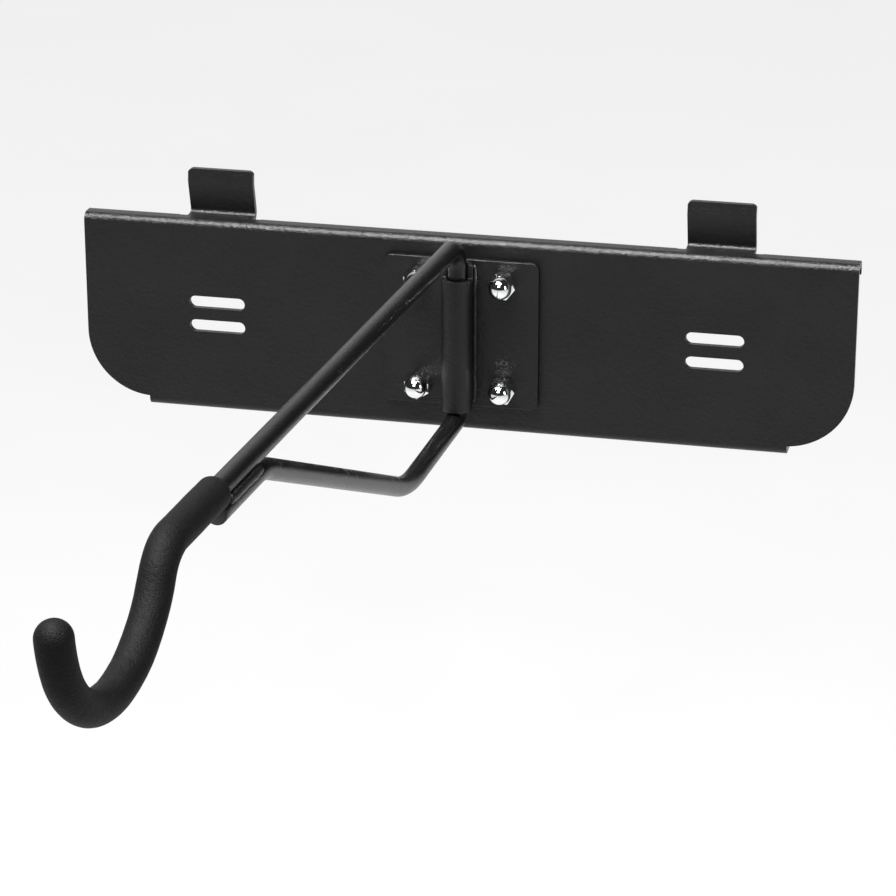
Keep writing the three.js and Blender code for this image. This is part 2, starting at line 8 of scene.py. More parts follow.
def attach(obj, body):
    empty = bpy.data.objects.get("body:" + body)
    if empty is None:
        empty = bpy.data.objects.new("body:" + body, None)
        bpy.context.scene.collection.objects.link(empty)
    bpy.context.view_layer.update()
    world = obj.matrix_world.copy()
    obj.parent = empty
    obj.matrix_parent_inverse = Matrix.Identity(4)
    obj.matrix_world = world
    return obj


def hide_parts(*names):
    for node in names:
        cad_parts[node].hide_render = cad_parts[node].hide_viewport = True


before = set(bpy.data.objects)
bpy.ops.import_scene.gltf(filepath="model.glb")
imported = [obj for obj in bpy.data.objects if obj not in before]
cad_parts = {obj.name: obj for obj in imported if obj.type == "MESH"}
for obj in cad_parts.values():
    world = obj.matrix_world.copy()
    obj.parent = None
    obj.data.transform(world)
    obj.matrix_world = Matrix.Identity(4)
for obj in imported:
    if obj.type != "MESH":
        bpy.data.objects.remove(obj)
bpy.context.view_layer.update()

# Sizes of the rack, in metres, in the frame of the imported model.
MM = 0.001
REST_SWING = math.radians(-4)
PIN_Y = -24.4 * MM
ROD_RADIUS = 5 * MM
SLEEVE_RADIUS = 7.8 * MM
SLEEVE_BORE = 5.35 * MM
ARM_Z = 6.4 * MM
ARM_DROOP = 0.45
ARM_LENGTH = 397 * MM
TOP_BEND = 13 * MM
BOTTOM_BEND = 6 * MM
STRUT_CORNER_BEND = 70 * MM
STRUT_LAP_BEND = 40 * MM
HOOK_BENDS = ((-59, 22 * MM), (60, 60 * MM), (82, 51 * MM))
HOOK_TIP = 0.4 * MM
STRUT_Z = -88.7 * MM
STRUT_DROOP = 3.3
STRUT_LOWER = 88 * MM
STRUT_RISE = 23
STRUT_LAP = 47.5 * MM
LAP_SPACING = 10.3 * MM
SLEEVE_ON_ARM = 47.5 * MM
TUBE_RADIUS = 8 * MM
TUBE_BORE = 5.35 * MM
HINGE_FACE_Y = -16.1 * MM
TUBE_LOW = -82.5 * MM
TUBE_HIGH = -4.2 * MM
TUBE_CUTAWAY = 7.2 * MM
NUT_SEAT_Y = -16.4 * MM
NUT_FLATS = 12.7 * MM
NUT_HEX = 6 * MM
NUT_HEIGHT = 13 * MM
DOME_RADIUS = 6 * MM
BOLT_X = 22.25 * MM
SLOT_X = 131.5 * MM
BOLT_MID_Z = -44.25 * MM
BOLT_HALF_Z = 28.5 * MM
BOLT_ROWS = (BOLT_MID_Z - BOLT_HALF_Z, BOLT_MID_Z + BOLT_HALF_Z)
SLOT_ROWS = (-51.75 * MM, -38.75 * MM)
NUT_TURNS = {"upper_left": -10, "upper_right": -22, "lower_left": 0, "lower_right": 30}


# ---- nodes and colours ---------------------------------------------------------------------------

def linear(code):
    """A hex colour such as '1a1a1c' as linear red, green, blue and full alpha."""
    channels = [int(code[i:i + 2], 16) / 255 for i in (0, 2, 4)]
    return [c / 12.92 if c <= 0.04045 else ((c + 0.055) / 1.055) ** 2.4 for c in channels] + [1.0]


def node(tree, kind, settings=None, **inputs):
    """Adds a node. settings are its properties. An input is a value, or an output socket to link."""
    made = tree.nodes.new(kind)
    for key, value in (settings or {}).items():
        setattr(made, key, value)
    for key, value in inputs.items():
        name = key.replace("_", " ")
        socket = made.inputs[int(name[1:])] if name[0] == "i" and name[1:].isdigit() else made.inputs[name]
        if isinstance(value, bpy.types.NodeSocket):
            tree.links.new(value, socket)
        else:
            socket.default_value = value
    return made


def ramp(tree, factor, stops):
    """A colour ramp with the given (position, linear colour) stops."""
    made = node(tree, "ShaderNodeValToRGB", Fac=factor)
    elements = made.color_ramp.elements
    while len(elements) < len(stops):
        elements.new(0.5)
    for element, (position, colour) in zip(elements, stops):
        element.position = position
        element.color = colour
    return made.outputs["Color"]


def spread(tree, factor, low, high):
    """Maps 0 to 1 onto low to high."""
    made = node(tree, "ShaderNodeMapRange", Value=factor, To_Min=low, To_Max=high)
    return made.outputs["Result"]


def new_material(name):
    material = bpy.data.materials.new(name)
    material.use_nodes = True
    tree = material.node_tree
    shader = tree.nodes["Principled BSDF"]
    place = node(tree, "ShaderNodeTexCoord").outputs["Object"]
    return material, tree, shader, place


def grain(tree, place, size, detail=2.0, roughness=0.5):
    """Noise whose lumps are about size metres across."""
    made = node(tree, "ShaderNodeTexNoise", Vector=place, Scale=1 / size, Detail=detail, Roughness=roughness)
    return made.outputs["Fac"]


def set_inputs(tree, shader, **inputs):
    for key, value in inputs.items():
        socket = shader.inputs[key.replace("_", " ")]
        if isinstance(value, bpy.types.NodeSocket):
            tree.links.new(value, socket)
        else:
            socket.default_value = value


def powder_coat(name, lump, depth, sheen_low, sheen_high, dark, light):
    """Black polyester powder coat on steel, sprayed and baked. It melts into a shallow orange peel,
    so highlights are soft and slightly broken, and a little dust lies lighter on it."""
    material, tree, shader, place = new_material(name)
    peel = grain(tree, place, lump, detail=3.0, roughness=0.55)
    fine = grain(tree, place, lump / 4, detail=1.0)
    cloud = grain(tree, place, 38 * MM, detail=3.0)
    dust = grain(tree, place, 0.9 * MM, detail=4.0, roughness=0.7)
    speck = ramp(tree, dust, [(0.70, linear("000000")), (0.76, linear("ffffff"))])
    coat = ramp(tree, cloud, [(0.3, linear(dark)), (0.7, linear(light))])
    colour = node(
        tree, "ShaderNodeMix", {"data_type": "RGBA"},
        i0=node(tree, "ShaderNodeMath", {"operation": "MULTIPLY"}, i0=speck, i1=0.25).outputs[0],
        i6=coat, i7=linear("303132"),
    ).outputs[2]
    height = node(tree, "ShaderNodeMath", {"operation": "MULTIPLY_ADD"}, i0=fine, i1=0.25, i2=peel).outputs[0]
    bump = node(tree, "ShaderNodeBump", Strength=1.0, Distance=depth, Height=height)
    set_inputs(
        tree, shader, Base_Color=colour, Roughness=spread(tree, cloud, sheen_low, sheen_high),
        IOR=1.5, Specular_IOR_Level=0.3, Normal=bump.outputs["Normal"],
    )
    return material


def chrome_plate():
    """Bright chromium over nickel, polished. It mirrors its surroundings, with faint wrench scuffs."""
    material, tree, shader, place = new_material("chrome_plate")
    scuff_place = node(tree, "ShaderNodeMapping", Vector=place, Scale=(1, 1, 0.12)).outputs["Vector"]
    scuff = grain(tree, scuff_place, 0.25 * MM, detail=4.0, roughness=0.65)
    haze = grain(tree, place, 4 * MM, detail=2.0)
    colour = ramp(tree, haze, [(0.3, linear("dcdee0")), (0.7, linear("eceded"))])
    gloss = node(tree, "ShaderNodeMath", {"operation": "MULTIPLY"}, i0=scuff, i1=haze).outputs[0]
    bump = node(tree, "ShaderNodeBump", Strength=0.5, Distance=0.003 * MM, Height=scuff)
    set_inputs(
        tree, shader, Base_Color=colour, Metallic=1.0, Roughness=spread(tree, gloss, 0.03, 0.16),
        Normal=bump.outputs["Normal"],
    )
    return material


def zinc_plate():
    """Bright zinc from a plating bath with a clear passivate. Bluish, satin, with dull patches."""
    material, tree, shader, place = new_material("zinc_plate")
    patch = grain(tree, place, 3 * MM, detail=4.0, roughness=0.6)
    fine = grain(tree, place, 0.15 * MM, detail=2.0)
    colour = ramp(tree, patch, [(0.3, linear("a7abb0")), (0.7, linear("c9ccd0"))])
    bump = node(tree, "ShaderNodeBump", Strength=0.6, Distance=0.01 * MM, Height=fine)
    set_inputs(
        tree, shader, Base_Color=colour, Metallic=1.0, Roughness=spread(tree, patch, 0.28, 0.48),
        Normal=bump.outputs["Normal"],
    )
    return material


def bare_steel_cut():
    """Steel where the rod was sawn off, coated thinly over the saw marks."""
    material, tree, shader, place = new_material("coated_saw_cut")
    turned = node(tree, "ShaderNodeMapping", Vector=place, Scale=(0.08, 1, 1)).outputs["Vector"]
    marks = grain(tree, turned, 0.5 * MM, detail=3.0)
    colour = ramp(tree, marks, [(0.3, linear("101112")), (0.7, linear("1d1e1f"))])
    bump = node(tree, "ShaderNodeBump", Strength=0.8, Distance=0.08 * MM, Height=marks)
    set_inputs(
        tree, shader, Base_Color=colour, Roughness=spread(tree, marks, 0.4, 0.6), IOR=1.5,
        Normal=bump.outputs["Normal"],
    )
    return material


def foam_rubber():
    """Closed-cell nitrile foam with its moulded skin. Dull and very dark, finely pored, with slow
    soft dents, and a faint bloom that varies its tone."""
    material, tree, shader, place = new_material("foam_rubber")
    pores = node(
        tree, "ShaderNodeTexVoronoi", {"feature": "F1"}, Vector=place, Scale=1 / (0.7 * MM), Randomness=1.0
    ).outputs["Distance"]
    lumps = grain(tree, place, 1.6 * MM, detail=4.0, roughness=0.6)
    bloom = grain(tree, place, 22 * MM, detail=3.0)
    colour = ramp(tree, bloom, [(0.3, linear("030303")), (0.7, linear("060606"))])
    height = node(
        tree, "ShaderNodeMath", {"operation": "MULTIPLY_ADD"}, i0=pores, i1=0.5, i2=lumps
    ).outputs[0]
    bump = node(tree, "ShaderNodeBump", Strength=1.0, Distance=0.35 * MM, Height=height)
    set_inputs(
        tree, shader, Base_Color=colour, Roughness=spread(tree, lumps, 0.55, 0.75), IOR=1.45,
        Specular_IOR_Level=0.14, Sheen_Weight=0.0, Sheen_Roughness=0.4, Normal=bump.outputs["Normal"],
    )
    return material


# ---- meshes --------------------------------------------------------------------------------------

def new_object(name, mesh, *materials):
    mesh.name = name
    made = bpy.data.objects.new(name, mesh)
    bpy.context.scene.collection.objects.link(made)
    for material in materials:
        mesh.materials.append(material)
    return made


def baked(obj, name, *materials):
    """The object with its modifiers carried out, as a new plain mesh object. The first one goes."""
    graph = bpy.context.evaluated_depsgraph_get()
    mesh = bpy.data.meshes.new_from_object(obj.evaluated_get(graph))
    old = obj.data
    bpy.data.objects.remove(obj)
    if old.users == 0:
        bpy.data.meshes.remove(old)
    if materials:
        mesh.materials.clear()
    return new_object(name, mesh, *materials)


def smooth(mesh, degrees):
    """Smooth shading, broken where two faces meet at more than that angle."""
    mesh.shade_smooth()
    mesh.set_sharp_from_angle(angle=math.radians(degrees))


def bevelled(obj, width, segments=3, degrees=40):
    smooth(obj.data, degrees)
    bevel = obj.modifiers.new("edge", "BEVEL")
    bevel.limit_method = "ANGLE"
    bevel.angle_limit = math.radians(degrees)
    bevel.width = width
    bevel.segments = segments
    bevel.harden_normals = True
    even = obj.modifiers.new("even_shading", "WEIGHTED_NORMAL")
    even.weight = 100
    even.keep_sharp = True
    return obj


def sheet_copy(cad_name, name, edge, uprights, levels, material):
    """A CAD sheet piece with its flat faces made whole and its cut edges rounded over. A flat face
    stays split along upright lines at uprights and level lines at levels, which go through the middles
    of the holes, so that no one face goes round a hole."""
    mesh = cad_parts[cad_name].data.copy()
    shape = bmesh.new()
    shape.from_mesh(mesh)
    bmesh.ops.remove_doubles(shape, verts=shape.verts, dist=1e-6)
    planes = [((x, 0, 0), (1, 0, 0)) for x in uprights] + [((0, 0, z), (0, 0, 1)) for z in levels]
    for middle, normal in planes:
        everything = shape.verts[:] + shape.edges[:] + shape.faces[:]
        crossed = bmesh.ops.bisect_plane(shape, geom=everything, dist=1e-7, plane_co=middle, plane_no=normal)
        for item in crossed["geom_cut"]:
            if isinstance(item, bmesh.types.BMEdge):
                item.seam = True
    bmesh.ops.dissolve_limit(
        shape, angle_limit=math.radians(1.0), verts=shape.verts, edges=shape.edges,
        use_dissolve_boundaries=False, delimit={"SEAM"},
    )
    shape.to_mesh(mesh)
    shape.free()
    mesh.materials.clear()
    return baked(bevelled(new_object(name + "_raw", mesh), edge, 3, 32), name, material)


def swung(point):
    """A point of the arm's own upright plane, (forward, up), at the rest swing in the rack's frame."""
    forward, up = point
    return Vector((math.sin(REST_SWING) * forward, PIN_Y - math.cos(REST_SWING) * forward, up))


def walk(start, heading, moves, step=2.0, stride=6 * MM):
    """Stations (point, heading) along straight runs and bends. A move is (None, run) or (turn, radius),
    with turns in degrees, positive to the left."""
    here = Vector(start)
    heading = math.radians(heading)
    stations = [(here.copy(), heading)]
    for turn, length in moves:
        if turn is None:
            count = max(1, math.ceil(length / stride))
            for i in range(1, count + 1):
                along = Vector((math.cos(heading), math.sin(heading))) * (length * i / count)
                stations.append((here + along, heading))
            here = stations[-1][0].copy()
            continue
        angle = math.radians(turn)
        side = math.copysign(1, angle)
        centre = here + left_of(heading) * side * length
        count = max(2, math.ceil(abs(turn) / step))
        for i in range(1, count + 1):
            now = heading + angle * i / count
            stations.append((centre - left_of(now) * side * length, now))
        here = stations[-1][0].copy()
        heading += angle
    return stations


def left_of(heading):
    return Vector((-math.sin(heading), math.cos(heading)))


def arm_height(forward):
    return ARM_Z - (forward - TOP_BEND) * math.tan(math.radians(ARM_DROOP))


def strut_stations():
    """From the pin down, forward, up and along under the arm."""
    corner = STRUT_DROOP + STRUT_RISE
    lead = STRUT_CORNER_BEND * math.tan(math.radians(corner / 2))

    def moves(rising, lap):
        return [
            (90 - STRUT_DROOP, BOTTOM_BEND),
            (None, STRUT_LOWER - BOTTOM_BEND - lead),
            (corner, STRUT_CORNER_BEND),
            (None, rising),
            (-(STRUT_RISE + ARM_DROOP), STRUT_LAP_BEND),
            (None, lap),
        ]

    start = (0, STRUT_Z + BOTTOM_BEND)
    end = walk(start, -90, moves(0, 0))[-1][0]
    droop = math.radians(ARM_DROOP)
    rise = math.radians(STRUT_RISE)
    missing = arm_height(end.x) - LAP_SPACING / math.cos(droop) - end.y
    rising = missing / (math.sin(rise) + math.cos(rise) * math.tan(droop))
    return walk(start, -90, moves(rising, STRUT_LAP))


def hook_moves(tip):
    return [*HOOK_BENDS, (None, tip)]


def rod_stations():
    strut = [(point, heading + math.pi) for point, heading in reversed(strut_stations())]
    pin_top = (0, ARM_Z - TOP_BEND * math.cos(math.radians(ARM_DROOP)))
    arm = walk(
        pin_top,
        90,
        [(-90 - ARM_DROOP, TOP_BEND), (None, ARM_LENGTH - TOP_BEND), *hook_moves(HOOK_TIP)],
    )
    return strut + arm


def path_object(name, points, radii=None):
    """A chain of points joined by edges, each with the radius that the swept piece has there."""
    mesh = bpy.data.meshes.new(name)
    mesh.from_pydata(points, [(i, i + 1) for i in range(len(points) - 1)], [])
    if radii:
        attribute = mesh.attributes.new("thickness", "FLOAT", "POINT")
        attribute.data.foreach_set("value", radii)
    return new_object(name, mesh)


# ---- geometry trees ------------------------------------------------------------------------------

def new_tree(name, sockets):
    """A geometry tree with a Geometry input and output and the named inputs."""
    tree = bpy.data.node_groups.new(name, "GeometryNodeTree")
    tree.interface.new_socket("Geometry", in_out="INPUT", socket_type="NodeSocketGeometry")
    for label, kind in sockets.items():
        tree.interface.new_socket(label, in_out="INPUT", socket_type=kind)
    tree.interface.new_socket("Geometry", in_out="OUTPUT", socket_type="NodeSocketGeometry")
    return tree, node(tree, "NodeGroupInput").outputs


def close_tree(tree, geometry, material):
    real = node(tree, "GeometryNodeRealizeInstances", Geometry=geometry).outputs[0]
    done = node(tree, "GeometryNodeSetMaterial", Geometry=real, Material=material).outputs[0]
    node(tree, "NodeGroupOutput", Geometry=done)
    return tree


def run_tree(obj, tree, name, material, **inputs):
    """Puts the tree on the object, sets its inputs by identifier and gives the finished mesh object."""
    modifier = obj.modifiers.new(tree.name, "NODES")
    modifier.node_group = tree
    for item in tree.interface.items_tree:
        if item.in_out == "INPUT" and item.name in inputs:
            modifier[item.identifier] = inputs[item.name]
    return baked(obj, name, material)


def rod_tree():
    """Sweeps a round section along a chain of points, as thick at each as the chain says."""
    tree, given = new_tree("bent_rod", {"Sides": "NodeSocketInt", "Material": "NodeSocketMaterial"})
    curve = node(tree, "GeometryNodeMeshToCurve", Mesh=given["Geometry"]).outputs[0]
    thickness = node(
        tree, "GeometryNodeInputNamedAttribute", {"data_type": "FLOAT"}, Name="thickness"
    ).outputs[0]
    ring = node(tree, "GeometryNodeCurvePrimitiveCircle", Resolution=given["Sides"], Radius=1.0).outputs[0]
    swept = node(
        tree, "GeometryNodeCurveToMesh", Curve=curve, Profile_Curve=ring, Scale=thickness, Fill_Caps=True
    ).outputs[0]
    return close_tree(tree, swept, given["Material"])


def weld_tree():
    """A weld bead along a line: even ripples from the torch's steps, with a little unevenness."""
    tree, given = new_tree("weld_bead", {
        "Radius": "NodeSocketFloat", "Pitch": "NodeSocketFloat", "Depth": "NodeSocketFloat",
        "Seed": "NodeSocketFloat", "Material": "NodeSocketMaterial",
    })
    line = node(tree, "GeometryNodeMeshToCurve", Mesh=given["Geometry"]).outputs[0]
    fine = node(
        tree, "GeometryNodeResampleCurve", {"mode": "LENGTH"}, Curve=line, Length=0.35 * MM
    ).outputs[0]
    along = node(tree, "GeometryNodeSplineParameter").outputs
    turns = node(
        tree, "ShaderNodeMath", {"operation": "DIVIDE"}, i0=along["Length"], i1=given["Pitch"]
    ).outputs[0]
    wobble = node(
        tree, "ShaderNodeTexNoise", {"noise_dimensions": "2D"},
        Vector=node(tree, "ShaderNodeCombineXYZ", X=turns, Y=given["Seed"]).outputs[0],
        Scale=0.45,
        Detail=2.0,
    ).outputs[0]
    phase = node(tree, "ShaderNodeMath", {"operation": "ADD"}, i0=turns, i1=wobble).outputs[0]
    wave = node(tree, "ShaderNodeMath", {"operation": "FRACT"}, i0=phase).outputs[0]
    ripple = node(tree, "ShaderNodeMath", {"operation": "MULTIPLY"}, i0=wave, i1=given["Depth"]).outputs[0]
    swell = node(tree, "ShaderNodeMapRange", Value=wobble, To_Min=0.82, To_Max=1.1).outputs[0]
    body = node(tree, "ShaderNodeMath", {"operation": "MULTIPLY"}, i0=given["Radius"], i1=swell).outputs[0]
    ends = node(
        tree, "ShaderNodeFloatCurve",
        Value=node(
            tree, "ShaderNodeMath", {"operation": "PINGPONG"}, i0=along["Factor"], i1=0.5
        ).outputs[0],
    )
    points = ends.mapping.curves[0].points
    points[0].location = (0.0, 0.35)
    points[1].location = (0.5, 1.0)
    points.new(0.05, 1.0)
    ends.mapping.update()
    thick = node(tree, "ShaderNodeMath", {"operation": "SUBTRACT"}, i0=body, i1=ripple).outputs[0]
    scale = node(tree, "ShaderNodeMath", {"operation": "MULTIPLY"}, i0=thick, i1=ends.outputs[0]).outputs[0]
    ring = node(tree, "GeometryNodeCurvePrimitiveCircle", Resolution=16, Radius=1.0).outputs[0]
    swept = node(
        tree, "GeometryNodeCurveToMesh", Curve=fine, Profile_Curve=ring, Scale=scale, Fill_Caps=True
    ).outputs[0]
    return close_tree(tree, swept, given["Material"])


def fastener_tree():
    """Sets one copy of a fastener on each point, turned as that point says about the bolt's axis."""
    tree, given = new_tree("fasteners", {"Fastener": "NodeSocketObject", "Material": "NodeSocketMaterial"})
    turn = node(tree, "GeometryNodeInputNamedAttribute", {"data_type": "FLOAT"}, Name="turn").outputs[0]
    rotation = node(tree, "ShaderNodeCombineXYZ", Y=turn).outputs[0]
    fastener = node(tree, "GeometryNodeObjectInfo", Object=given["Fastener"]).outputs["Geometry"]
    copies = node(
        tree, "GeometryNodeInstanceOnPoints", Points=given["Geometry"], Instance=fastener, Rotation=rotation
    ).outputs[0]
    return close_tree(tree, copies, given["Material"])


# ---- pieces on the wall plate --------------------------------------------------------------------

def spun(name, profile, steps):
    """A piece about Y from (radius, y) points that start and end on the axis. A point may also be a
    function that gives the pair for an angle, where the piece is not round."""
    shape = bmesh.new()
    rows = []
    angles = [2 * math.pi * i / steps for i in range(steps)]
    for point in profile:
        pairs = [point(angle) if callable(point) else point for angle in angles]
        if pairs[0][0] < 1e-7:
            rows.append([shape.verts.new((0, pairs[0][1], 0))])
            continue
        rows.append([
            shape.verts.new((radius * math.cos(angle), y, radius * math.sin(angle)))
            for angle, (radius, y) in zip(angles, pairs)
        ])
    for first, second in zip(rows, rows[1:]):
        for i in range(steps):
            j = (i + 1) % steps
            corners = [
                first[i % len(first)],
                first[j % len(first)],
                second[j % len(second)],
                second[i % len(second)],
            ]
            unique = list(dict.fromkeys(corners))
            if len(unique) > 2:
                shape.faces.new(unique)
    bmesh.ops.recalc_face_normals(shape, faces=shape.faces)
    mesh = bpy.data.meshes.new(name)
    shape.to_mesh(mesh)
    shape.free()
    return new_object(name, mesh)


def cut(obj, tool, operation="DIFFERENCE"):
    """Cuts the tool out of the object, or keeps what they share, and removes the tool."""
    boolean = obj.modifiers.new("cut", "BOOLEAN")
    boolean.operation = operation
    boolean.solver = "EXACT"
    boolean.object = tool
    made = baked(obj, obj.name + "_cut")
    old = tool.data
    bpy.data.objects.remove(tool)
    bpy.data.meshes.remove(old)
    return made


def upright_bar(name, radius, low, high, steps=72):
    shape = bmesh.new()
    place = Matrix.Translation((0, PIN_Y, (low + high) / 2))
    bmesh.ops.create_cone(
        shape, cap_ends=True, segments=steps, radius1=radius, radius2=radius, depth=high - low, matrix=place
    )
    mesh = bpy.data.meshes.new(name)
    shape.to_mesh(mesh)
    shape.free()
    return new_object(name, mesh)


def block(name, low, high):
    shape = bmesh.new()
    bmesh.ops.create_cube(shape, size=1)
    for vert in shape.verts:
        vert.co = [a + (b - a) * (c + 0.5) for a, b, c in zip(low, high, vert.co)]
    mesh = bpy.data.meshes.new(name)
    shape.to_mesh(mesh)
    shape.free()
    return new_object(name, mesh)


def hinge_tube(material):
    """Drawn steel tube, its front half milled lower so that the rod's bend can pass."""
    tube = upright_bar("tube", TUBE_RADIUS, TUBE_LOW, TUBE_HIGH)
    tube = cut(tube, upright_bar("bore", TUBE_BORE, TUBE_LOW - 0.01, TUBE_HIGH + 0.01))
    tube = cut(
        tube,
        block("cutaway", (-0.02, -0.06, TUBE_HIGH - TUBE_CUTAWAY), (0.02, PIN_Y, TUBE_HIGH + 0.01)),
    )
    return baked(bevelled(tube, 0.35 * MM, 2, 50), "coated_hinge_tube", material)


def acorn_nut_shape():
    """One acorn nut, standing on its seat: a hexagon chamfered at both ends, a dome and a blind hole."""
    flat = NUT_FLATS / 2
    wide = flat / math.cos(math.pi / 6) + 1 * MM
    front = NUT_SEAT_Y - NUT_HEX
    seat_edge = flat - 0.1 * MM
    dome_base = NUT_SEAT_Y - (NUT_HEIGHT - DOME_RADIUS)
    hole = 4.27 * MM
    hole_end = NUT_SEAT_Y - 10 * MM

    def hexagon(angle):
        return flat / math.cos((angle + math.pi / 6) % (math.pi / 3) - math.pi / 6)

    def rear_chamfer(angle):
        radius = hexagon(angle)
        return radius, NUT_SEAT_Y - 0.9 * MM * (radius - seat_edge) / (wide - seat_edge)

    def front_chamfer(angle):
        radius = hexagon(angle)
        return radius, front + 1.5 * MM * (radius - DOME_RADIUS) / (wide - DOME_RADIUS)

    profile = [(0, hole_end), (hole, hole_end), (hole, NUT_SEAT_Y), (seat_edge, NUT_SEAT_Y)]
    profile += [rear_chamfer, front_chamfer, (DOME_RADIUS, front), (DOME_RADIUS, dome_base)]
    for i in range(1, 16):
        angle = i / 16 * math.pi / 2
        profile.append((DOME_RADIUS * math.cos(angle), dome_base - DOME_RADIUS * math.sin(angle)))
    profile.append((0, dome_base - DOME_RADIUS))
    nut = spun("acorn_nut_shape", profile, 96)
    smooth(nut.data, 18)
    return nut


def carriage_bolt_shape():
    """One carriage bolt: a low domed head behind the plate, a square neck and a plain shank."""
    head_y = -9.5 * MM
    reach = 4 * MM
    radius = 8.5 * MM
    rim = 0.8 * MM
    shank = 3.95 * MM
    profile = [
        (0, NUT_SEAT_Y - 8.7 * MM),
        (shank - 0.6 * MM, NUT_SEAT_Y - 8.7 * MM),
        (shank, NUT_SEAT_Y - 8.1 * MM),
    ]
    profile += [(shank, head_y), (radius, head_y)]
    for i in range(13):
        angle = i / 12 * math.pi / 2
        profile.append((radius * math.cos(angle), head_y + rim + (reach - rim) * math.sin(angle)))
    profile[-1] = (0, profile[-1][1])
    bolt = spun("bolt", profile, 64)
    neck = block("neck", (-shank, -12.8 * MM, -shank), (shank, head_y + 0.4 * MM, shank))
    bolt = cut(bolt, neck, "UNION")
    return baked(bevelled(bolt, 0.2 * MM, 2, 45), "carriage_bolt_shape")


def bolt_points(turns):
    """One point on each bolt's axis, with how far the fastener there is turned."""
    places = {
        "upper_left": (-1, 1), "upper_right": (1, 1), "lower_left": (-1, -1), "lower_right": (1, -1),
    }
    points = [(x * BOLT_X, 0, BOLT_MID_Z + z * BOLT_HALF_Z) for x, z in places.values()]
    mesh = bpy.data.meshes.new("bolt_points")
    mesh.from_pydata(points, [], [])
    attribute = mesh.attributes.new("turn", "FLOAT", "POINT")
    attribute.data.foreach_set("value", [math.radians(turns.get(name, 0)) for name in places])
    return new_object("bolt_points", mesh)


def fasteners(shape, turns, name, material, tree):
    made = run_tree(bolt_points(turns), tree, name, material, Fastener=shape, Material=material)
    old = shape.data
    bpy.data.objects.remove(shape)
    bpy.data.meshes.remove(old)
    return made


def bead(name, points, radius, seed, material, tree):
    made = run_tree(
        path_object(name + "_line", points), tree, name, material,
        Radius=radius, Pitch=1.7 * MM, Depth=0.32 * MM, Seed=seed, Material=material,
    )
    smooth(made.data, 50)
    return made


# ---- pieces on the swinging arm ------------------------------------------------------------------

def hook_rod(material, cut_material, tree):
    """The bent rod. Its section thins a little at the strut's free end, where the saw cut was broken over."""
    stations = rod_stations()
    points = [swung(point) for point, _ in stations]
    first = (points[1] - points[0]).normalized()
    points = [points[0], points[0] + first * 0.25 * MM, points[0] + first * 0.7 * MM, *points[1:]]
    radii = [ROD_RADIUS - 0.7 * MM, ROD_RADIUS - 0.25 * MM] + [ROD_RADIUS] * (len(points) - 2)
    line = path_object("rod_line", points, radii)
    rod = run_tree(line, tree, "coated_hook_rod", material, Sides=48, Material=material)
    rod.data.materials.append(cut_material)
    start = points[0]
    for face in rod.data.polygons:
        if len(face.vertices) > 4 and (face.center - start).length < ROD_RADIUS:
            face.material_index = 1
    smooth(rod.data, 40)
    return rod


def sleeve_ring(point, heading, radius, sides, place):
    """One ring of the sleeve round a station, with soft dents in it."""
    across = Vector((math.cos(REST_SWING), math.sin(REST_SWING), 0))
    upward = swung(point + left_of(heading)) - swung(point)
    centre = swung(point)
    ring = []
    for i in range(sides):
        angle = 2 * math.pi * i / sides
        out = across * math.cos(angle) + upward * math.sin(angle)
        ring.append(centre + out * (radius + place(angle, centre + out * radius)))
    return ring


